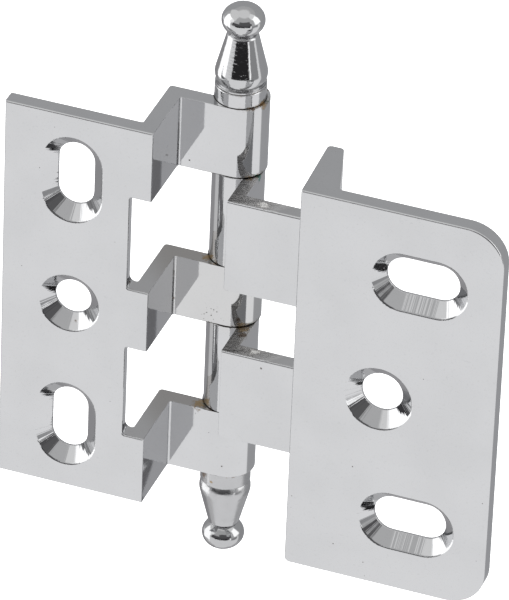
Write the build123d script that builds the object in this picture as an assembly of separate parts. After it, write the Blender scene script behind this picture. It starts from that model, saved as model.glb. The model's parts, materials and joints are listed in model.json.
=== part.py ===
from build123d import *
from math import acos, cos, pi, sin
import os

# Decorative butt hinge with two cranked leaves, five knuckles and a pin with ball finials.
# Sizes are in millimetres. +Z runs up the pin, +X from the frame leaf to the door leaf,
# and the countersunk faces of both leaves look towards -Y.
# The origin is where the axis of the frame leaf's middle screw hole meets that leaf's back face.

# Section shared by both leaves
leaf_thickness = 2.4
edge_round = 0.25
bend_round = 0.5
inner_bend_round = 0.3
countersink_depth = 2.05
rim_round = 0.5

# All five barrels are centred a little to the right of the pin's axis
barrel_shift_x = 0.18

# Frame leaf: a plate, a crank that steps back, and an arm whose front runs on into its barrels,
# which are also centred a little behind the pin's axis
frame_hole_to_edge = 10.3
frame_hole_to_bend = 12.1
crank_depth = 10.8
crank_to_pin = 7.7
frame_knuckle_diameter = 8.1
barrel_shift_y = 0.25
notch_depth = 3.25
notch_lean = 0.44
notch_front_corner = 0.3
notch_back_corner = 0.9

# Knuckles and gaps of the frame leaf, from the bottom edge up: they make the leaf's height
bottom_knuckle = 11.2
lower_gap = 15.25
middle_knuckle = 10.1
upper_gap = 15.45
top_knuckle = 11.5

# Door leaf: distances in its section are measured from the pin's axis
door_knuckle_diameter = 7.7
knuckle_play = 0.1
web_thickness = 2.0
arm_relief = 0.3
arm_corner = 0.4
arm_top_round = 0.3
pin_to_arm_back = 7.4
pin_to_flange_tip = 15.9
pin_to_door_edge = 16.4
pin_to_door_back = 17.6
flange_tip_width = 2.4
flange_root_width = 4.9
flange_tip_round = 0.7
flange_root_round = 0.5
door_width = 30.15
door_outer_corner = 5.8
door_upper_corner = 0.15
door_lower_corner = 0.8

# Screw holes
frame_slot_bore = 5.5
frame_slot_rim = 9.45
frame_slot_travel = 4.7
frame_slot_spacing = 42.0
frame_hole_bore = 5.5
frame_hole_rim = 9.45
door_slot_bore = 5.8
door_slot_rim = 9.5
door_slot_travel = 5.0
door_slot_spacing = 40.75
door_slot_inset = 17.95
door_hole_inset = 12.8
door_hole_bore = 6.1
door_hole_rim = 10.35

# Pin: a turned shaft with a collar for a head and a stub at each end for a finial
pin_diameter = 4.8
pin_clearance = 0.05
collar_diameter = 7.5
collar_height = 2.3
collar_chamfer = 0.15
stub_diameter = 3.0
stub_length = 5.0
stub_clearance = 0.05
stub_chamfer = 0.3
stub_hole_spare = 0.6

# Finials: a base ring, a groove, a bell, a neck and a flattened ball
top_ring_height = 0.3
bottom_ring_height = 2.35
ring_diameter = 7.45
groove_depth = 0.3
groove_height = 0.25
bell_flare = 1.9
bell_diameter = 7.47
bell_top_diameter = 4.5
bell_height = 5.85
bell_shoulder = 0.35
neck_diameter = 3.7
neck_height = 0.1
ball_diameter = 6.3
ball_height = 4.85
ball_steps = 8

# Values that follow
leaf_height = bottom_knuckle + lower_gap + middle_knuckle + upper_gap + top_knuckle
leaf_bottom = -leaf_height / 2
leaf_top = leaf_height / 2
lower_gap_bottom = leaf_bottom + bottom_knuckle
lower_gap_top = lower_gap_bottom + lower_gap
upper_gap_bottom = lower_gap_top + middle_knuckle
upper_gap_top = upper_gap_bottom + upper_gap
frame_front = -leaf_thickness
crank_back = frame_hole_to_bend - leaf_thickness
arm_front = frame_front + crank_depth
arm_back = arm_front + leaf_thickness
frame_knuckle_radius = frame_knuckle_diameter / 2
door_knuckle_radius = door_knuckle_diameter / 2
pin_x = frame_hole_to_bend + crank_to_pin
barrel_x = pin_x + barrel_shift_x
barrel_y = arm_front + frame_knuckle_radius
pin_y = barrel_y - barrel_shift_y
pin_radius = pin_diameter / 2
pin_bore = pin_radius + pin_clearance
door_back = pin_y - pin_to_door_back
door_front = door_back - leaf_thickness
door_arm_back = pin_y - pin_to_arm_back
door_arm_front = door_arm_back - leaf_thickness
door_edge = pin_x + pin_to_door_edge
door_far_edge = door_edge + door_width
flange_tip = pin_x + pin_to_flange_tip
cut_margin = 2.0


def block(x_range, y_range, z_range):
    """A box between two corners."""
    sizes = (x_range[1] - x_range[0], y_range[1] - y_range[0], z_range[1] - z_range[0])
    corner = (x_range[0], y_range[0], z_range[0])
    return Pos(*corner) * Box(*sizes, align=(Align.MIN, Align.MIN, Align.MIN))


def upright_cylinder(centre_x, radius, z_range):
    """A cylinder level with the pin's axis in y, and round centre_x."""
    height = z_range[1] - z_range[0]
    on_end = (Align.CENTER, Align.CENTER, Align.MIN)
    return Pos(centre_x, pin_y, z_range[0]) * Cylinder(radius, height, align=on_end)


def pin_cylinder(radius, z_range):
    """A cylinder on the pin's axis."""
    return upright_cylinder(pin_x, radius, z_range)


def screw_hole(x, z, y_front, bore, rim, travel=0.0, slot_angle=0):
    """The tool for one countersunk hole, drawn out into a slot where it has travel."""
    front = Plane(origin=(x, y_front, z), x_dir=(1, 0, 0), z_dir=(0, 1, 0))

    def outline(diameter):
        if travel > 0:
            return SlotCenterToCenter(travel, diameter, rotation=slot_angle)
        return Circle(diameter / 2)

    cone = loft([front * outline(rim), front.offset(countersink_depth) * outline(bore)], ruled=True)
    through = extrude(front.offset(-cut_margin) * outline(bore), leaf_thickness + 2 * cut_margin)
    return cone + through


def front_face(leaf):
    """The flat face of a leaf that looks towards -Y and lies furthest forward."""
    return leaf.faces().filter_by(Axis.Y).group_by(Axis.Y)[0][0]


def round_front(leaf):
    """Round the outline of the leaf's front face."""
    return fillet(front_face(leaf).outer_wire().edges(), edge_round)


def round_rims(leaf):
    """Round the rims of the countersinks where they meet the leaf's front face."""
    rims = [edge for wire in front_face(leaf).inner_wires() for edge in wire.edges()]
    return fillet(rims, rim_round)


def notch(z_range):
    """The tool that mills one knuckle gap through plate, crank, arm and barrel.

    Its end wall leans away from the pin through the plate, and its corners widen towards the back.
    """
    height = z_range[1] - z_range[0]
    x_right = barrel_x + frame_knuckle_radius + cut_margin
    x_front = frame_hole_to_bend - notch_depth
    x_back = x_front - notch_lean
    middle = (z_range[0] + z_range[1]) / 2

    def outline(x_left, y, corner):
        section = Rectangle(x_right - x_left, height, align=(Align.MIN, Align.CENTER))
        section = fillet(section.vertices().group_by(Axis.X)[0], corner)
        return Plane(origin=(x_left, y, middle), x_dir=(1, 0, 0), z_dir=(0, 1, 0)) * section

    front = outline(x_front, frame_front, notch_front_corner)
    back = outline(x_back, 0, notch_back_corner)
    ahead = extrude(front, -cut_margin)
    behind = extrude(back, barrel_y + frame_knuckle_radius + cut_margin)
    return loft([front, back], ruled=True) + ahead + behind


def frame_section():
    """Plate, crank and arm as one bent strip, with the barrel's disc at its end."""
    outline = Polyline(
        (-frame_hole_to_edge, frame_front),
        (frame_hole_to_bend, frame_front),
        (frame_hole_to_bend, arm_front),
        (barrel_x, arm_front),
        (barrel_x, arm_back),
        (crank_back, arm_back),
        (crank_back, 0),
        (-frame_hole_to_edge, 0),
        close=True,
    )
    strip = make_face(outline)
    free_back_edge = strip.vertices().group_by(Axis.X)[0].sort_by(Axis.Y)[-1]
    strip = fillet(free_back_edge, edge_round)
    outer_bend = strip.vertices().sort_by_distance((crank_back, arm_back))[0]
    strip = fillet(outer_bend, bend_round)
    for spot in ((crank_back, 0), (frame_hole_to_bend, arm_front)):
        strip = fillet(strip.vertices().sort_by_distance(spot)[0], inner_bend_round)
    return strip + Pos(barrel_x, barrel_y) * Circle(frame_knuckle_radius)


def frame_leaf():
    """The section at full height, then milled for the door leaf's knuckles, bored and drilled."""
    leaf = extrude(Pos(0, 0, leaf_bottom) * frame_section(), leaf_height)
    leaf = leaf - notch((lower_gap_bottom, lower_gap_top)) - notch((upper_gap_bottom, upper_gap_top))
    leaf = leaf - pin_cylinder(pin_bore, (leaf_bottom - cut_margin, leaf_top + cut_margin))
    leaf = round_front(leaf)
    for side in (-1, 1):
        z = side * frame_slot_spacing / 2
        sizes = (frame_slot_bore, frame_slot_rim, frame_slot_travel)
        leaf = leaf - screw_hole(0, z, frame_front, *sizes, slot_angle=90)
    leaf = leaf - screw_hole(0, 0, frame_front, frame_hole_bore, frame_hole_rim)
    return round_rims(leaf)


def corner_tool(radius, side):
    """The tool that rounds the door plate's lower (-1) or upper (1) corner along the flange's lean."""
    lean = Vector(flange_tip - door_edge, door_arm_back - door_front)
    run_out = lean * (cut_margin / lean.Y)
    corner = Vector(door_edge, door_front, side * leaf_height / 2)
    outline = Polyline(
        (0, radius),
        (-cut_margin, radius),
        (-cut_margin, -cut_margin),
        (radius, -cut_margin),
        (radius, 0),
    )
    arc = TangentArc((radius, 0), (0, radius), tangent=(-1, 0))
    start = Plane(origin=corner - run_out, x_dir=(1, 0, 0), z_dir=(0, side, 0))
    section = start * make_face([*outline.edges(), arc])
    return extrude(section, (lean + run_out * 2).length, dir=lean)


def door_plate():
    """Plate and tapered flange as one strip, with the four corners of its outline rounded."""
    outline = Polyline(
        (door_edge, door_front),
        (door_far_edge, door_front),
        (door_far_edge, door_back),
        (door_edge + flange_root_width, door_back),
        (flange_tip + flange_tip_width, door_arm_back),
        (flange_tip, door_arm_back),
        close=True,
    )
    strip = make_face(outline)
    root = strip.vertices().sort_by_distance((door_edge + flange_root_width, door_back))[0]
    strip = fillet(root, flange_root_round)
    strip = fillet(strip.vertices().group_by(Axis.Y)[-1], flange_tip_round)
    body = extrude(Pos(0, 0, leaf_bottom) * strip, leaf_height)
    body = fillet(body.edges().filter_by(Axis.Y).group_by(Axis.X)[-1], door_outer_corner)
    body = body - corner_tool(door_lower_corner, -1) - corner_tool(door_upper_corner, 1)
    return round_front(body)


def door_arm(z_range):
    """One barrel of the door leaf with the web and arm that carry it."""
    barrel_z = (z_range[0] + knuckle_play, z_range[1] - knuckle_play)
    barrel = upright_cylinder(barrel_x, door_knuckle_radius, barrel_z)
    arm_z = (z_range[0] + arm_relief, z_range[1] - knuckle_play)
    web_right = barrel_x + door_knuckle_radius
    web_left = web_right - web_thickness
    web = block((web_left, web_right), (door_arm_back, pin_y), arm_z)
    arm = block((web_left, flange_tip + flange_tip_width / 2), (door_arm_front, door_arm_back), arm_z)
    front_top = arm.edges().filter_by(Axis.X).group_by(Axis.Y)[0].sort_by(Axis.Z)[-1]
    arm = fillet(front_top, arm_top_round)
    lower_corner = arm.edges().filter_by(Axis.Y).group_by(Axis.X)[0].sort_by(Axis.Z)[0]
    return barrel + web + fillet(lower_corner, arm_corner)


def door_leaf():
    """Plate, flange, arms and barrels in one piece, bored for the pin and drilled."""
    leaf = door_plate()
    leaf = leaf + door_arm((lower_gap_bottom, lower_gap_top)) + door_arm((upper_gap_bottom, upper_gap_top))
    leaf = leaf - pin_cylinder(pin_bore, (leaf_bottom, leaf_top))
    for side in (-1, 1):
        z = side * door_slot_spacing / 2
        x = door_edge + door_slot_inset
        leaf = leaf - screw_hole(x, z, door_front, door_slot_bore, door_slot_rim, door_slot_travel)
    leaf = leaf - screw_hole(door_edge + door_hole_inset, 0, door_front, door_hole_bore, door_hole_rim)
    return round_rims(leaf)


def hinge_pin():
    """Shaft through the five knuckles, a collar on top of them, and a stub at each end for a finial."""
    shaft = pin_cylinder(pin_radius, (leaf_bottom, leaf_top))
    collar_top = leaf_top + collar_height
    collar = pin_cylinder(collar_diameter / 2, (leaf_top, collar_top))
    collar = chamfer(collar.edges().group_by(Axis.Z)[-1], collar_chamfer)
    stub = pin_cylinder(stub_diameter / 2, (leaf_bottom - stub_length, collar_top + stub_length))
    stub = chamfer(stub.edges().filter_by(GeomType.CIRCLE), stub_chamfer)
    return shaft + collar + stub


def finial(ring_height):
    """A turned finial standing on z = 0: ring, groove, bell, neck and flattened ball, over a blind hole."""
    ring_radius = ring_diameter / 2
    groove_radius = ring_radius - groove_depth
    bell_radius = bell_diameter / 2
    bell_top_radius = bell_top_diameter / 2
    neck_radius = neck_diameter / 2
    ball_radius = ball_diameter / 2
    groove_top = ring_height + groove_height
    bell_widest = groove_top + bell_flare
    bell_top = bell_widest + bell_height
    neck_top = bell_top + neck_height
    neck_share = neck_radius / ball_radius
    ball_centre = neck_top + ball_height / 2 * (1 - neck_share**2) ** 0.5

    shoulder_start = (bell_top_radius - bell_shoulder, bell_top)
    cone_up = Vector(bell_top_radius - bell_radius, bell_height)
    cone_end = Vector(bell_top_radius, bell_top) - cone_up.normalized() * bell_shoulder
    base = Polyline(
        (0, 0),
        (ring_radius, 0),
        (ring_radius, ring_height),
        (groove_radius, ring_height),
        (groove_radius, groove_top),
    )
    flare = TangentArc((bell_radius, bell_widest), (groove_radius, groove_top), tangent=-cone_up)
    cone = Line((bell_radius, bell_widest), cone_end)
    shoulder = TangentArc(cone_end, shoulder_start, tangent=cone_up)
    neck = Polyline(shoulder_start, (neck_radius, bell_top), (neck_radius, neck_top))
    neck_angle = acos(neck_share)
    steps = [step / ball_steps for step in range(1, ball_steps)]
    angles = [-neck_angle + (pi / 2 + neck_angle) * step for step in steps]
    rim = [(ball_radius * cos(a), ball_centre + ball_height / 2 * sin(a)) for a in angles]
    ball_top = (0, ball_centre + ball_height / 2)
    ball = Spline((neck_radius, neck_top), *rim, ball_top)
    axis_line = Line(ball_top, (0, 0))
    outline = make_face([*base.edges(), flare, cone, shoulder, *neck.edges(), ball, axis_line])
    turned = revolve(Plane.XZ * outline, Axis.Z)
    hole_radius = stub_diameter / 2 + stub_clearance
    on_end = (Align.CENTER, Align.CENTER, Align.MIN)
    return turned - Cylinder(hole_radius, stub_length + stub_hole_spare, align=on_end)


def main():
    os.makedirs("parts", exist_ok=True)
    nodes = {
        "frame_leaf": frame_leaf(),
        "door_leaf": door_leaf(),
        "hinge_pin": hinge_pin(),
        "top_finial": Pos(pin_x, pin_y, leaf_top + collar_height) * finial(top_ring_height),
        "bottom_finial": Pos(pin_x, pin_y, leaf_bottom) * Rot(180, 0, 0) * finial(bottom_ring_height),
    }
    for name, solid in nodes.items():
        export_step(solid, f"parts/{name}.step")


if __name__ == "__main__":
    main()
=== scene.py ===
import bpy
import json
from math import cos, radians, sin
from mathutils import Matrix, Vector


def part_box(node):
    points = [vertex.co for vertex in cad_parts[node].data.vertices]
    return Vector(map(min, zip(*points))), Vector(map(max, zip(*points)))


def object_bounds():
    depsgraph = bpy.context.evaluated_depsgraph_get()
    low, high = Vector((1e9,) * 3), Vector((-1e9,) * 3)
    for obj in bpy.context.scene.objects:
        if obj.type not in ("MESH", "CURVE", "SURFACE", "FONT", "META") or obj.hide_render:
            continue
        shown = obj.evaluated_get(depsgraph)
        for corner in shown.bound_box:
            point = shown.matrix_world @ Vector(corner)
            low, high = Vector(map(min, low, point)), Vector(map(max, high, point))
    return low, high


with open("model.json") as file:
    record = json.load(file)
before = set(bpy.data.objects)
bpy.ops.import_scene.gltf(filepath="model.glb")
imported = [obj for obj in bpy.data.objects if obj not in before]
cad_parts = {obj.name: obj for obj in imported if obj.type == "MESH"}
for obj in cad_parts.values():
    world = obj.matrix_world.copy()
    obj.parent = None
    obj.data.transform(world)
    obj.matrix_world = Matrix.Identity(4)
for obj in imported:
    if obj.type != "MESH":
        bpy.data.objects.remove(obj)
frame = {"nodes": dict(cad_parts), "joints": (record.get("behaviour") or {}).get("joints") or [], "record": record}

# A chrome plated hinge in front of a white background. Everything is in metres.
cad_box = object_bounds()
MM = 0.001
scene = bpy.context.scene

# Where the photograph was taken from: angles in degrees, the point that lies in mid picture, and the
# sensor and lens in millimetres
CAMERA_AZIMUTH = 18.942
CAMERA_ELEVATION = 33.699
CAMERA_ROLL = 2.408
CAMERA_DISTANCE = 1.04657
CAMERA_AIM = Vector((28.199, -2.4, 8.005)) * MM
CAMERA_SENSOR = 24.0
CAMERA_LENS = 295.34
CAMERA_NEAR = 0.01

# Floor and lamp
FLOOR_DROP = 0.04
FLOOR_SIZE = 6.0
FLOOR_COLOUR = (0.86, 0.86, 0.86)
FLOOR_GLOW = 0.93
LAMP_POWER = 1.2
LAMP_SIZE = 0.6
LAMP_HEIGHT = 0.9

# Places on the object that its grime gathers round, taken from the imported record
PIN = Vector(frame["joints"][0]["pos_m"])
GAPS = {gap["name"]: gap["box_m"] for gap in frame["record"]["physics"]["openings"]}
GAP_MARGIN = 0.15 * MM


def seam_heights(gap):
    """Heights of the two seams between knuckles at the foot and head of a gap."""
    low, high = GAPS[gap]
    return low[2] - GAP_MARGIN, high[2] + GAP_MARGIN


LOWER_FOOT, LOWER_HEAD = seam_heights("lower_knuckle_gap")
UPPER_FOOT, UPPER_HEAD = seam_heights("upper_knuckle_gap")
LEAF_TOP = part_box("frame_leaf")[1].z
LEAF_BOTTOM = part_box("frame_leaf")[0].z
COLLAR_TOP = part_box("top_finial")[0].z


class Nodes:
    """A node tree, with short calls for the kinds of node that the materials use."""

    def __init__(self, tree):
        self.tree = tree
        tree.nodes.clear()

    def feed(self, socket, value):
        """Link a socket into an input, or write a plain value on it."""
        if isinstance(value, bpy.types.NodeSocket):
            self.tree.links.new(value, socket)
        else:
            socket.default_value = value

    def add(self, kind, settings=None, **inputs):
        """A node with its own settings, and its inputs named with _ for a space."""
        node = self.tree.nodes.new("ShaderNode" + kind)
        for name, value in (settings or {}).items():
            setattr(node, name, value)
        for name, value in inputs.items():
            self.feed(node.inputs[name.replace("_", " ")], value)
        return node

    def math(self, operation, *values):
        node = self.add("Math", {"operation": operation})
        for socket, value in zip(node.inputs, values):
            self.feed(socket, value)
        return node.outputs[0]

    def product(self, *values):
        result = values[0]
        for value in values[1:]:
            result = self.math("MULTIPLY", result, value)
        return result

    def largest(self, values):
        """The largest of some values, and never less than 0."""
        result = 0.0
        for value in values:
            result = self.math("MAXIMUM", result, value)
        return result

    def length(self, first, second):
        """The distance that two steps at right angles make together."""
        squares = [self.math("POWER", side, 2.0) for side in (first, second)]
        return self.math("SQRT", self.math("ADD", *squares))

    def ramp(self, value, low, high, to_low=0.0, to_high=1.0):
        """to_low where value is under low, to_high over high, and a smooth step between."""
        node = self.add(
            "MapRange",
            {"interpolation_type": "SMOOTHSTEP"},
            Value=value,
            From_Min=low,
            From_Max=high,
            To_Min=to_low,
            To_Max=to_high,
        )
        return node.outputs["Result"]

    def band(self, value, centre, half_width, blur):
        """1 where value lies within half_width of centre, falling to 0 over blur."""
        offset = self.math("ABSOLUTE", self.math("SUBTRACT", value, centre))
        return self.ramp(offset, half_width, half_width + blur, 1.0, 0.0)

    def bands(self, value, centres, half_width, blur):
        """1 where value lies within half_width of any of the centres."""
        return self.largest([self.band(value, centre, half_width, blur) for centre in centres])

    def mix(self, share, first, second):
        """first where share is 0, second where it is 1, as colours."""
        node = self.add("Mix", {"data_type": "RGBA"})
        self.feed(node.inputs["Factor"], share)
        colours = [socket for socket in node.inputs if socket.type == "RGBA"]
        for socket, value in zip(colours, (first, second)):
            self.feed(socket, value if isinstance(value, bpy.types.NodeSocket) else (*value, 1.0))
        return [socket for socket in node.outputs if socket.type == "RGBA"][0]

    def noise(self, place, scale, detail=2.0, roughness=0.5):
        node = self.add("TexNoise", Vector=place, Scale=scale, Detail=detail, Roughness=roughness)
        return node.outputs["Fac"]

    def fray(self, place, scale, detail, roughness=0.7):
        """Rough noise on both sides of 0, which makes a smooth edge ragged."""
        return self.math("SUBTRACT", self.noise(place, scale, detail, roughness), 0.5)

    def patches(self, place, scale, low, high, detail=2.0, roughness=0.5, to_low=0.0, to_high=1.0):
        """Patches of noise: to_low where the noise is under low, and to_high where it is over high."""
        return self.ramp(self.noise(place, scale, detail, roughness), low, high, to_low, to_high)

    def stretched(self, place, factors):
        """The place with each axis multiplied by its own factor."""
        node = self.add("VectorMath", {"operation": "MULTIPLY"}, Vector=place)
        self.feed(node.inputs[1], factors)
        return node.outputs[0]

    def distance(self, place, point):
        node = self.add("VectorMath", {"operation": "DISTANCE"}, Vector=place)
        self.feed(node.inputs[1], point)
        return node.outputs["Value"]


# Camera

def add_camera():
    """The camera at the photograph's viewing angle."""
    azimuth, elevation, roll = (
        radians(angle) for angle in (CAMERA_AZIMUTH, CAMERA_ELEVATION, CAMERA_ROLL)
    )
    back = Vector((sin(azimuth) * cos(elevation), -cos(azimuth) * cos(elevation), sin(elevation)))
    level = Vector((cos(azimuth), sin(azimuth), 0))
    upright = back.cross(level)
    right = level * cos(roll) + upright * sin(roll)
    up = upright * cos(roll) - level * sin(roll)
    data = bpy.data.cameras.new("camera")
    data.sensor_width = CAMERA_SENSOR
    data.lens = CAMERA_LENS
    data.clip_start = CAMERA_NEAR
    camera = bpy.data.objects.new("camera", data)
    turn = Matrix((right, up, back)).transposed().to_4x4()
    camera.matrix_world = Matrix.Translation(CAMERA_AIM + back * CAMERA_DISTANCE) @ turn
    scene.collection.objects.link(camera)
    scene.camera = camera


# Studio: what the plating mirrors. Azimuths run from -Y towards +X, elevations from the horizon up

FLOOR_LIGHT = (1.25, 1.25, 1.262)
LOW_SKY = (0.72, 0.72, 0.725)
HIGH_SKY = (1.12, 1.12, 1.12)
PANEL = (2.3, 2.3, 2.3)
# Elevations between which the floor's light turns into the low sky, and the low sky into the high one
HORIZON = (-9, 1)
SKY_EDGE = (59, 70)
# What it stands for, azimuth, half width, elevation, half height, blur and colour. Later ones cover
# earlier ones.
STUDIO_PARTS = (
    ("back wall", 178, 66, 0, 41, 7, (0.585, 0.59, 0.6)),
    ("back wall foot", 178, 62, -22, 20, 7, (0.555, 0.558, 0.572)),
    ("floor behind", 178, 62, -64, 15, 9, (0.72, 0.72, 0.73)),
    ("floor behind left", -127, 32, -44, 26, 5, (0.48, 0.475, 0.485)),
    ("floor left", -78, 14, -46, 20, 8, (0.88, 0.875, 0.88)),
    ("strip by the floor", -65, 2, -36, 7, 2, (2.0, 2.0, 2.0)),
    ("upper left", -74, 40, 52, 13, 8, (1.13, 1.13, 1.13)),
    ("upper right", 98, 20, 54, 9, 7, (1.25, 1.25, 1.25)),
    ("left panel", -73, 21, 3, 30, 4, PANEL),
    ("left panel edge", -46, 8, 25, 8, 6, (1.6, 1.6, 1.6)),
    ("right panel", 98, 14, 24, 19, 6, PANEL),
    ("behind camera", 12, 50, 9, 10, 4, (0.135, 0.132, 0.138)),
    ("camera", 27, 26, 26, 9, 6, (0.17, 0.168, 0.173)),
    ("table edge", 15, 36, -3, 3, 2, (0.035, 0.034, 0.036)),
    ("lit gap", 59, 2, -3, 5, 2, (2.0, 2.0, 2.0)),
    ("right gap", 79, 15, -9, 5, 5, (0.45, 0.45, 0.46)),
)


def studio_light(nodes):
    """The colour that the studio shows in each direction."""
    direction = nodes.add("TexCoord").outputs["Generated"]
    axes = nodes.add("SeparateXYZ", Vector=direction).outputs
    elevation = nodes.math("DEGREES", nodes.math("ARCSINE", axes["Z"]))
    sideways = nodes.math("ARCTAN2", axes["X"], nodes.math("MULTIPLY", axes["Y"], -1.0))
    azimuth = nodes.math("DEGREES", sideways)
    sky = nodes.mix(nodes.ramp(elevation, *SKY_EDGE), LOW_SKY, HIGH_SKY)
    light = nodes.mix(nodes.ramp(elevation, *HORIZON), FLOOR_LIGHT, sky)
    for name, side, half_width, height, half_height, blur, colour in STUDIO_PARTS:
        turn = nodes.math("WRAP", nodes.math("SUBTRACT", azimuth, side), 180.0, -180.0)
        across = nodes.band(turn, 0.0, half_width, blur)
        upward = nodes.band(elevation, height, half_height, blur)
        light = nodes.mix(nodes.product(across, upward), light, colour)
    return light


def add_studio():
    """The surroundings: white to the camera, a photographer's light tent to everything else."""
    world = bpy.data.worlds.new("studio")
    world.use_nodes = True
    scene.world = world
    nodes = Nodes(world.node_tree)
    tent = nodes.add("Background", Color=studio_light(nodes), Strength=1.0)
    white = nodes.add("Background", Color=(1, 1, 1, 1), Strength=1.0)
    seen = nodes.add("LightPath").outputs["Is Camera Ray"]
    shown = nodes.add("MixShader")
    nodes.feed(shown.inputs[0], seen)
    nodes.feed(shown.inputs[1], tent.outputs[0])
    nodes.feed(shown.inputs[2], white.outputs[0])
    nodes.add("OutputWorld", Surface=shown.outputs[0])


def floor_material():
    """A pale floor that the camera sees as white with the object's shadow on it."""
    material = bpy.data.materials.new("pale_floor")
    material.use_nodes = True
    nodes = Nodes(material.node_tree)
    paint = nodes.add("BsdfDiffuse", Color=(*FLOOR_COLOUR, 1.0))
    glow = nodes.add("Emission", Color=(1, 1, 1, 1), Strength=FLOOR_GLOW)
    lit = nodes.add("AddShader")
    nodes.feed(lit.inputs[0], paint.outputs[0])
    nodes.feed(lit.inputs[1], glow.outputs[0])
    path = nodes.add("LightPath").outputs
    to_camera = nodes.add("MixShader")
    nodes.feed(to_camera.inputs[0], path["Is Camera Ray"])
    nodes.feed(to_camera.inputs[1], paint.outputs[0])
    nodes.feed(to_camera.inputs[2], lit.outputs[0])
    open_to_mirrors = nodes.add("MixShader")
    nodes.feed(open_to_mirrors.inputs[0], path["Is Glossy Ray"])
    nodes.feed(open_to_mirrors.inputs[1], to_camera.outputs[0])
    nodes.feed(open_to_mirrors.inputs[2], nodes.add("BsdfTransparent").outputs[0])
    nodes.add("OutputMaterial", Surface=open_to_mirrors.outputs[0])
    return material


def add_floor():
    """A plain floor below the object."""
    half = FLOOR_SIZE / 2
    height = cad_box[0].z - FLOOR_DROP
    corners = [(x, y, height) for x, y in ((-half, -half), (half, -half), (half, half), (-half, half))]
    mesh = bpy.data.meshes.new("floor")
    mesh.from_pydata(corners, [], [(0, 1, 2, 3)])
    mesh.materials.append(floor_material())
    floor = bpy.data.objects.new("floor", mesh)
    scene.collection.objects.link(floor)


def add_lamp():
    """A broad soft lamp overhead, which the mirrors don't show."""
    data = bpy.data.lights.new("overhead_lamp", "AREA")
    data.energy = LAMP_POWER
    data.size = LAMP_SIZE
    lamp = bpy.data.objects.new("overhead_lamp", data)
    lamp.location = (0, 0, LAMP_HEIGHT)
    lamp.visible_glossy = False
    scene.collection.objects.link(lamp)


# Plating: its colours and those of its stains

LEAF_TONE = (0.515, 0.518, 0.524)
FINIAL_TONE = (0.475, 0.477, 0.482)
DULL_FINIAL_TONE = (0.435, 0.437, 0.442)
WARM_TONE = (0.502, 0.49, 0.462)
SPECKLE = (0.25, 0.25, 0.25)
BLACK_BROWN = (0.018, 0.012, 0.008)
BROWN = (0.10, 0.058, 0.03)
OCHRE = (0.30, 0.20, 0.085)
GREEN = (0.07, 0.13, 0.085)
TEAL = (0.06, 0.22, 0.18)
DULL_BROWN = (0.20, 0.17, 0.14)
PIT = (0.06, 0.052, 0.045)
SCUFF = (1.0, 0.99, 0.96)
GRAZING_TINT = (0.8, 0.8, 0.81, 1.0)

# How much of each colour shows. The haze is the plating's roughness, and it varies from its clearest
# to its haziest share of that.
CLOUD_SHADE = 0.955
WARM_SHARE = 0.2
SPECKLE_SHARE = 0.16
SPOT_SHARE = 0.75
CRUST_SHARE = 0.75
LINE_SHARE = 0.9
POLISHED = 0.05
LESS_POLISHED = 0.06
CLEAREST, HAZIEST = 0.7, 1.4
DULL_ROUGHNESS = 0.35

# Noise patterns: how fine they are, and the span of the noise over which each of them fades in
CLOUDS = {"scale": 110.0, "low": 0.3, "high": 0.75, "detail": 3.0}
SPECKLES = {"scale": 2600.0, "low": 0.55, "high": 0.8, "detail": 3.0, "roughness": 0.7}
HAZE = {"scale": 260.0, "low": 0.3, "high": 0.8, "detail": 4.0}
CRUST = {"scale": 1100.0, "low": 0.5, "high": 0.6, "detail": 4.0, "roughness": 0.7}
BLOTCHES = {"scale": 800.0, "low": 0.45, "high": 0.58, "detail": 5.0, "roughness": 0.7}
OCHRE_PATCHES = {"scale": 1300.0, "low": 0.42, "high": 0.6}
GREEN_PATCHES = {"scale": 620.0, "low": 0.56, "high": 0.66, "detail": 1.0}
DULL_PATCHES = {"scale": 700.0, "low": 0.3, "high": 0.7, "detail": 3.0, "to_low": 0.25, "to_high": 0.6}
SPOT_FRAY = {"scale": 1700.0, "detail": 3.0}
GRIME_FRAY = {"scale": 1500.0, "detail": 4.0}

# Dots in some cells of a pattern: how fine it is, the span of a cell's random number over which dots
# come in, and the span of the distance from its middle, in cells, over which they fade
PITS = {"scale": 430.0, "chosen": (0.80, 0.82), "dot": (0.018, 0.045)}
FLECKS = {"scale": 2600.0, "chosen": (0.6, 0.64), "dot": (0.2, 0.34)}
FLECKED = Vector((18.2, 8.4, -4.0)) * MM
FLECKED_SPAN = (0.8 * MM, 2.2 * MM)

# Relief: how strong each layer is and how deep
EDGE_RADIUS = 0.14 * MM
EDGE_SAMPLES = 4
RIPPLE_RELIEF = (0.35, 0.01 * MM)
CUTTER_RELIEF = (1.0, 0.02 * MM)
GRAIN_RELIEF = (0.3, 0.002 * MM)
PIT_RELIEF = (0.5, 0.02 * MM)
RIPPLES_SCALE = 130.0
GRAIN_SCALE = 3000.0

# Cutter marks: their height, and how fine their noise is along x, y and z
STREAK_DEPTH = 2.2
STREAK_NOISE = {"scale": 7.0, "detail": 2.5, "roughness": 0.55}
SCRATCH_DEPTH = 15.0
SCRATCH_FINENESS = (900.0, 2300.0, 2300.0)
CHATTER_DEPTH = 0.75
CHATTER_FINENESS = (1200.0, 1200.0, 2300.0)
RING_DEPTH = 0.06
RING_FINENESS = (500.0, 500.0, 6500.0)

# Where scratches gather: most of them on a ring round the pin's axis, and some on all that lies inside
# it. They reach this far above and below the height of their face.
SCRATCH_RING = 11.2 * MM
SCRATCH_HALF = 0.8 * MM
SCRATCH_FADE = 1.6 * MM
SCRATCH_SPAN = (9.0 * MM, 13.0 * MM)
SCRATCHES_INSIDE = 0.5
SCRATCHED_HALF = 0.15 * MM
SCRATCHED_BLUR = 0.05 * MM

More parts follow.
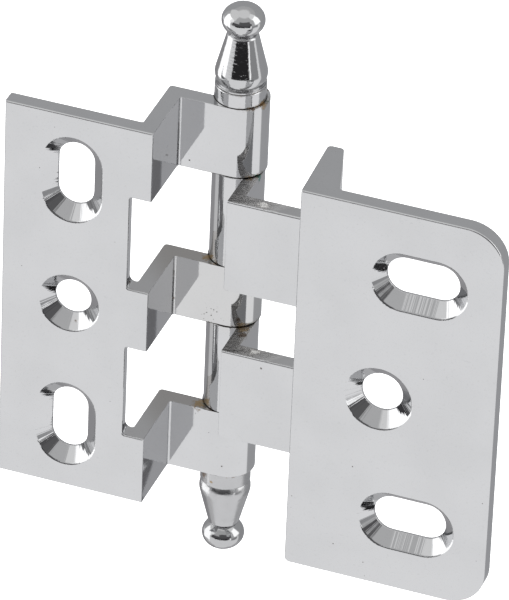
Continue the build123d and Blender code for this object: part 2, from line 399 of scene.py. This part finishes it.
# Countersinks: where their streaks end and over what width they fade, the radius half way up the wall,
# half the slots' travel, and how far the streaks' pattern moves on for each metre between two holes
COUNTERSINK_REACH = 5.4 * MM
COUNTERSINK_FADE = 0.5 * MM
WALL_RADIUS = 3.7 * MM
DOOR_SLOT_HALF = 2.5 * MM
FRAME_SLOT_HALF = 2.35 * MM
PATTERN_SHIFT = 100

# The warm tinge round the middle knuckle: its reach up and down, and its fading away from the pin
WARM_REACH = 5.0 * MM
WARM_BLUR = 2.0 * MM
WARM_SPAN = (6.0 * MM, 14.0 * MM)

# Single stains and pits: what each of them is, its x, y, z and radius in millimetres, and its colour
FRAME_SPOTS = (
    ("beside the middle barrel", 16.6, 9.8, 4.8, 1.0, OCHRE),
    ("beside the lower barrel", 16.3, 9.4, -20.55, 1.3, OCHRE),
    ("right of the collar's foot", 23.6, 11.3, 31.75, 0.9, OCHRE),
    ("in front of the collar's foot", 22.7, 9.5, 31.7, 0.5, BROWN),
    ("inner corner of the middle crank", 12.1, 8.3, -2.4, 0.3, BROWN),
    ("streak in the round hole", 0.8, -1.3, -3.5, 0.35, BROWN),
    ("rim of the middle notch", 8.7, -0.9, 5.1, 0.3, BROWN),
    ("pit on the lower knuckle", 20.5, 8.4, -29.9, 0.2, PIT),
    ("pit on the upper crank", 12.1, 3.8, 26.1, 0.15, PIT),
    ("pit on the upper arm", 13.8, 8.4, 21.5, 0.15, PIT),
)
DOOR_SPOTS = (
    ("green under the upper knuckle", 23.8, 10.4, 19.9, 0.8, TEAL),
    ("brown under the upper knuckle", 22.9, 9.2, 20.15, 0.5, OCHRE),
    ("on the lower web by the barrel", 22.8, 8.8, -5.4, 1.2, OCHRE),
    ("on the lower web", 23.3, 7.4, -5.4, 1.0, BROWN),
    ("bright scuffs on the upper arm", 27.0, 3.5, 20.1, 1.2, SCUFF),
    ("bright scuffs on the lower arm", 26.4, 4.0, -5.5, 1.0, SCUFF),
    ("pit on the lower arm", 28.0, 2.4, -6.8, 0.2, PIT),
    ("pit by the round hole", 45.8, -7.8, -12.5, 0.17, PIT),
    ("pit by the edge", 65.4, -7.8, -13.5, 0.17, PIT),
    ("pit by the lower slot", 43.5, -7.8, -26.6, 0.15, PIT),
    ("pit under the lower slot", 48.1, -7.8, -28.6, 0.15, PIT),
)
FINIAL_SPOTS = (
    ("left of the lower ring", 17.5, 9.5, -32.7, 0.8, BROWN),
    ("front of the lower ring", 18.9, 8.5, -33.3, 0.35, OCHRE),
)
# A stain frays by this share of its radius, and fades from its core to its rim
SPOT_FRAYING = 2.2
SPOT_CORE, SPOT_RIM = 0.45, 0.9


def pin_distance(nodes, axes):
    """Distance from the pin's axis."""
    across = nodes.math("SUBTRACT", axes["X"], PIN.x)
    along = nodes.math("SUBTRACT", axes["Y"], PIN.y)
    return nodes.length(across, along)


def plating_colour(nodes, place, axes, tone):
    """The clean plating: faint clouds, a warm tinge round the middle knuckle and fine speckles."""
    cloud = [channel * CLOUD_SHADE for channel in tone]
    colour = nodes.mix(nodes.patches(place, **CLOUDS), tone, cloud)
    warm = nodes.product(
        nodes.band(axes["Z"], (LOWER_HEAD + UPPER_FOOT) / 2, WARM_REACH, WARM_BLUR),
        nodes.ramp(pin_distance(nodes, axes), *WARM_SPAN, 1.0, 0.0),
        WARM_SHARE,
    )
    colour = nodes.mix(warm, colour, WARM_TONE)
    speckle = nodes.product(nodes.patches(place, **SPECKLES), SPECKLE_SHARE)
    return nodes.mix(speckle, colour, SPECKLE)


def dots(nodes, place, scale, chosen, dot):
    """1 on the dots that lie in some cells of a pattern."""
    cells = nodes.add("TexVoronoi", Vector=place, Scale=scale)
    chance = nodes.add("SeparateColor", Color=cells.outputs["Color"]).outputs[0]
    return nodes.product(
        nodes.ramp(chance, *chosen),
        nodes.ramp(cells.outputs["Distance"], *dot, 1.0, 0.0),
    )


def pits_of(nodes, place):
    """A few pits all over, and a cluster of tiny ones by the foot of the middle knuckle."""
    cluster = nodes.ramp(nodes.distance(place, FLECKED), *FLECKED_SPAN, 1.0, 0.0)
    flecks = nodes.product(cluster, dots(nodes, place, **FLECKS))
    return nodes.largest([dots(nodes, place, **PITS), flecks])


def spots_of(nodes, place, spots):
    """The single stains: their share and colour."""
    fray = nodes.fray(place, **SPOT_FRAY)
    share = 0.0
    shade = BROWN
    for name, x, y, z, radius, colour in spots:
        reach = nodes.distance(place, (x * MM, y * MM, z * MM))
        size = radius * MM
        ragged = nodes.math("ADD", reach, nodes.product(fray, SPOT_FRAYING * size))
        inside = nodes.ramp(ragged, SPOT_CORE * size, SPOT_RIM * size, 1.0, 0.0)
        share = nodes.math("MAXIMUM", share, inside)
        shade = nodes.mix(inside, shade, colour)
    return share, shade


def relief(nodes, normal, layers):
    """The surface's normal after each layer, given as its strength and depth and then its height."""
    for (strength, depth), height in layers:
        bump = nodes.add("Bump", Strength=strength, Distance=depth, Height=height, Normal=normal)
        normal = bump.outputs["Normal"]
    return normal


def chrome(name, tone, haze, stain_of, marks_of, spots):
    """Bright plating with stains, pits, softened edges and cutter marks.

    haze is its roughness, stain_of gives the share, colour and dullness of the grime, marks_of the
    height of the cutter marks, and spots lists the single stains.
    """
    material = bpy.data.materials.new(name)
    material.use_nodes = True
    nodes = Nodes(material.node_tree)
    place = nodes.add("TexCoord").outputs["Object"]
    axes = nodes.add("SeparateXYZ", Vector=place).outputs

    pit = pits_of(nodes, place)
    stain, stain_colour, dullness = stain_of(nodes, place, axes)
    spot, spot_colour = spots_of(nodes, place, spots)
    colour = nodes.mix(stain, plating_colour(nodes, place, axes, tone), stain_colour)
    colour = nodes.mix(nodes.product(spot, SPOT_SHARE), colour, spot_colour)
    colour = nodes.mix(nodes.product(pit, SPOT_SHARE), colour, PIT)

    dull = nodes.largest([dullness, pit, spot])
    hazy = nodes.patches(place, **HAZE, to_low=haze * CLEAREST, to_high=haze * HAZIEST)
    roughness = nodes.math("ADD", hazy, nodes.product(dull, DULL_ROUGHNESS))

    softened = nodes.add("Bevel", {"samples": EDGE_SAMPLES}, Radius=EDGE_RADIUS).outputs["Normal"]
    normal = relief(nodes, softened, (
        (RIPPLE_RELIEF, nodes.noise(place, RIPPLES_SCALE, detail=1.0)),
        (CUTTER_RELIEF, marks_of(nodes, place, axes)),
        (GRAIN_RELIEF, nodes.noise(place, GRAIN_SCALE)),
        (PIT_RELIEF, nodes.product(dull, -1.0)),
    ))
    surface = nodes.add(
        "BsdfPrincipled",
        Base_Color=colour,
        Metallic=1.0,
        Roughness=roughness,
        Specular_Tint=GRAZING_TINT,
        Normal=normal,
    )
    nodes.add("OutputMaterial", Surface=surface.outputs["BSDF"])
    return material


def turned_marks(nodes, place, axes):
    """Fine rings from the lathe, broken up round the axis."""
    chatter = nodes.noise(nodes.stretched(place, CHATTER_FINENESS), 1.0)
    rings = nodes.noise(nodes.stretched(place, RING_FINENESS), 1.0, detail=1.0)
    return nodes.math("ADD", nodes.product(chatter, CHATTER_DEPTH), nodes.product(rings, RING_DEPTH))


def countersink_streaks(nodes, axes, holes):
    """Cutter marks that run up the walls of the countersinks: 0 away from them.

    holes lists each hole's middle x and z and its half travel along x and z.
    """
    height = 0.0
    for x, z, half_x, half_z in holes:
        off_x = nodes.math("SUBTRACT", axes["X"], x)
        off_z = nodes.math("SUBTRACT", axes["Z"], z)
        run_x = nodes.math("MINIMUM", nodes.math("MAXIMUM", off_x, -half_x), half_x)
        run_z = nodes.math("MINIMUM", nodes.math("MAXIMUM", off_z, -half_z), half_z)
        side_x = nodes.math("SUBTRACT", off_x, run_x)
        side_z = nodes.math("SUBTRACT", off_z, run_z)
        turn = nodes.math("ARCTAN2", side_z, side_x)
        run = nodes.product(nodes.math("ADD", run_x, run_z), 1.0 / WALL_RADIUS)
        round_wall = nodes.math("ADD", turn, run)
        along = nodes.add("CombineXYZ", X=round_wall, Y=x * PATTERN_SHIFT, Z=z * PATTERN_SHIFT)
        streak = nodes.noise(along.outputs[0], **STREAK_NOISE)
        reach = nodes.length(side_x, side_z)
        inside = nodes.ramp(reach, COUNTERSINK_REACH - COUNTERSINK_FADE, COUNTERSINK_REACH, 1.0, 0.0)
        height = nodes.math("ADD", height, nodes.product(streak, inside, STREAK_DEPTH))
    return height


def leaf_marks(holes, scratched_tops=()):
    """Cutter marks in one leaf's countersinks, and scratches on its upward faces at these heights."""

    def marks_of(nodes, place, axes):
        streaks = countersink_streaks(nodes, axes, holes)
        if not scratched_tops:
            return streaks
        at_top = nodes.bands(axes["Z"], scratched_tops, SCRATCHED_HALF, SCRATCHED_BLUR)
        from_pin = pin_distance(nodes, axes)
        ring = nodes.band(from_pin, SCRATCH_RING, SCRATCH_HALF, SCRATCH_FADE)
        inside = nodes.ramp(from_pin, *SCRATCH_SPAN, SCRATCHES_INSIDE, 0.0)
        spread = nodes.math("MAXIMUM", ring, inside)
        scratches = nodes.noise(nodes.stretched(place, SCRATCH_FINENESS), 1.0, detail=4.0, roughness=0.7)
        return nodes.math("ADD", streaks, nodes.product(at_top, spread, scratches, SCRATCH_DEPTH))

    return marks_of


# Grime: how ragged and how wide its lines and crusts are, and where they stop away from the pin. Faces
# count as upward over a span of their normal's z.

LINE_FRAYING = 0.15 * MM
LINE_BLUR = 0.06 * MM
FOOT_FADE = 0.15 * MM
FACE_HALF = 0.2 * MM
FACE_BLUR = 0.1 * MM
UPWARD = (0.9, 0.97)
KNUCKLE_SPAN = (4.4 * MM, 4.8 * MM)
CRUST_FRAYING = 0.9 * MM
CRUST_BLUR = 0.45 * MM
CRUST_SIDE = (0.3 * MM, 2.2 * MM)
TOP_CRUST_FRAYING = 3.0 * MM
TOP_CRUST_SPAN = (4.0 * MM, 5.2 * MM)
DULLED_SPAN = (9.0 * MM, 15.0 * MM)
DULLED_FAR_OFF = 0.3
CLOUD_BLUR = 0.2 * MM


def seam_line(nodes, axes, seams, upward, fray, from_pin, near_pin):
    """The dark line at each seam: round the knuckles' sides, and at the foot of what stands on one."""
    side = nodes.math("SUBTRACT", 1.0, upward)
    level = nodes.math("ADD", axes["Z"], nodes.product(fray, LINE_FRAYING))
    lines = nodes.largest([nodes.band(level, seam, thick, LINE_BLUR) for seam, thick, foot in seams])
    feet = nodes.largest([
        nodes.product(
            nodes.band(axes["Z"], seam, FACE_HALF, FACE_BLUR),
            nodes.ramp(from_pin, foot, foot + FOOT_FADE, 1.0, 0.0),
        )
        for seam, thick, foot in seams
    ])
    return nodes.math("MAXIMUM", nodes.product(side, lines, near_pin), nodes.product(upward, feet))


def seam_crust(nodes, place, axes, seams, fray, near_pin):
    """Crust above and below the seams, on the right of the pin."""
    loose = nodes.math("ADD", axes["Z"], nodes.product(fray, CRUST_FRAYING))
    halo = nodes.largest([nodes.band(loose, seam, thick, CRUST_BLUR) for seam, thick, foot in seams])
    right = nodes.ramp(axes["X"], PIN.x + CRUST_SIDE[0], PIN.x + CRUST_SIDE[1])
    return nodes.product(halo, right, nodes.patches(place, **CRUST), near_pin)


def top_crust(nodes, place, on_top, fray, from_pin):
    """Crust on the upward faces next to the pin."""
    wander = nodes.math("ADD", from_pin, nodes.product(fray, TOP_CRUST_FRAYING))
    next_to_pin = nodes.ramp(wander, *TOP_CRUST_SPAN, 1.0, 0.0)
    return nodes.product(on_top, next_to_pin, nodes.patches(place, **BLOTCHES))


def grime(seams, dulled_tops=(), dulling=0.0, worn=0.0, clouded=None):
    """Brown and green grime round the pin.

    seams lists the heights where two pieces meet, how thick the dark line is there and the radius of
    the one that stands on the other. dulled_tops are the heights of upward faces that grime spreads on,
    dulling how brown and worn how matt they are. clouded is a span of heights where the plating is dull.
    """

    def stain_of(nodes, place, axes):
        from_pin = pin_distance(nodes, axes)
        near_pin = nodes.ramp(from_pin, *KNUCKLE_SPAN, 1.0, 0.0)
        fray = nodes.fray(place, **GRIME_FRAY)
        normal = nodes.add("NewGeometry").outputs["Normal"]
        upward = nodes.ramp(nodes.add("SeparateXYZ", Vector=normal).outputs["Z"], *UPWARD)
        on_top = nodes.product(upward, nodes.bands(axes["Z"], dulled_tops, FACE_HALF, FACE_BLUR))

        line = seam_line(nodes, axes, seams, upward, fray, from_pin, near_pin)
        crust = nodes.math(
            "MAXIMUM",
            seam_crust(nodes, place, axes, seams, fray, near_pin),
            top_crust(nodes, place, on_top, fray, from_pin),
        )
        dulled = nodes.product(on_top, nodes.ramp(from_pin, *DULLED_SPAN, 1.0, DULLED_FAR_OFF))
        thick_crust = nodes.product(crust, CRUST_SHARE)
        share = nodes.largest(
            [thick_crust, nodes.product(dulled, dulling), nodes.product(line, LINE_SHARE)]
        )

        warm = nodes.mix(nodes.patches(place, **OCHRE_PATCHES), BROWN, OCHRE)
        crust_colour = nodes.mix(nodes.patches(place, **GREEN_PATCHES), warm, GREEN)
        colour = nodes.mix(crust, DULL_BROWN, crust_colour)
        colour = nodes.mix(line, colour, BLACK_BROWN)

        dull = [thick_crust, line, nodes.product(dulled, worn)]
        if clouded:
            low, high = clouded
            cloud = nodes.band(axes["Z"], (low + high) / 2, (high - low) / 2, CLOUD_BLUR)
            dull.append(nodes.product(cloud, nodes.patches(place, **DULL_PATCHES)))
        return share, colour, nodes.largest(dull)

    return stain_of


# Each dark line's half thickness, the radius of the piece that stands on the other at each seam, and the
# height over which the lower finial is dull
FINE_LINE = 0.04 * MM
LOWER_HEAD_LINE = 0.09 * MM
UPPER_HEAD_LINE = 0.05 * MM
COLLAR_TOP_LINE = 0.03 * MM
LOWER_FINIAL_LINE = 0.05 * MM
DOOR_BARREL_FOOT = 3.8 * MM
FRAME_BARREL_FOOT = 4.05 * MM
COLLAR_FOOT = 3.78 * MM
DULL_BELL = 9.0 * MM


def countersinks():
    """The countersinks of the frame leaf and the door leaf, as countersink_streaks takes them."""
    mounts = {mount["name"]: mount["pos_m"] for mount in frame["record"]["mounts"]}
    frame_z, door_z = (
        (GAPS[slot][0][2] + GAPS[slot][1][2]) / 2 for slot in ("frame_upper_slot", "door_upper_slot")
    )
    door_slots_x = mounts["door_slots"][0]
    on_frame = [(0, frame_z, 0, FRAME_SLOT_HALF), (0, -frame_z, 0, FRAME_SLOT_HALF), (0, 0, 0, 0)]
    on_door = [
        (door_slots_x, door_z, DOOR_SLOT_HALF, 0),
        (door_slots_x, -door_z, DOOR_SLOT_HALF, 0),
        (mounts["door_centre_hole"][0], 0, 0, 0),
    ]
    return on_frame, on_door


def dress():
    """Give every node its plating."""
    on_frame, on_door = countersinks()
    door_tops = [LOWER_HEAD, UPPER_HEAD]
    seams = [
        (LOWER_FOOT, FINE_LINE, DOOR_BARREL_FOOT),
        (LOWER_HEAD, LOWER_HEAD_LINE, FRAME_BARREL_FOOT),
        (UPPER_FOOT, FINE_LINE, DOOR_BARREL_FOOT),
        (UPPER_HEAD, UPPER_HEAD_LINE, FRAME_BARREL_FOOT),
    ]
    collar_foot = (LEAF_TOP, FINE_LINE, COLLAR_FOOT)
    collar_top = (COLLAR_TOP, COLLAR_TOP_LINE, 0.0)
    finial_seat = (LEAF_BOTTOM, LOWER_FINIAL_LINE, 0.0)
    frame_grime = grime([*seams, collar_foot], [LOWER_FOOT, UPPER_FOOT], dulling=0.45, worn=0.25)
    door_grime = grime(seams, door_tops, dulling=0.3, worn=0.45)
    pin_grime = grime([*seams, collar_foot, collar_top])
    upper_grime = grime([collar_top])
    lower_grime = grime([finial_seat], clouded=(LEAF_BOTTOM - DULL_BELL, LEAF_BOTTOM))
    frame_marks = leaf_marks(on_frame)
    door_marks = leaf_marks(on_door, door_tops)
    platings = {
        "frame_leaf": ("frame_leaf_chrome", LEAF_TONE, POLISHED, frame_grime, frame_marks, FRAME_SPOTS),
        "door_leaf": ("door_leaf_chrome", LEAF_TONE, POLISHED, door_grime, door_marks, DOOR_SPOTS),
        "hinge_pin": ("pin_chrome", LEAF_TONE, POLISHED, pin_grime, turned_marks, FRAME_SPOTS),
        "top_finial": ("top_finial_chrome", FINIAL_TONE, POLISHED, upper_grime, turned_marks, ()),
        "bottom_finial": (
            "bottom_finial_chrome",
            DULL_FINIAL_TONE,
            LESS_POLISHED,
            lower_grime,
            turned_marks,
            FINIAL_SPOTS,
        ),
    }
    for node, plating in platings.items():
        material = chrome(*plating)
        for slot in frame["nodes"][node].material_slots:
            slot.material = material


scene.view_settings.view_transform = "Standard"
add_camera()
add_studio()
add_floor()
add_lamp()
dress()
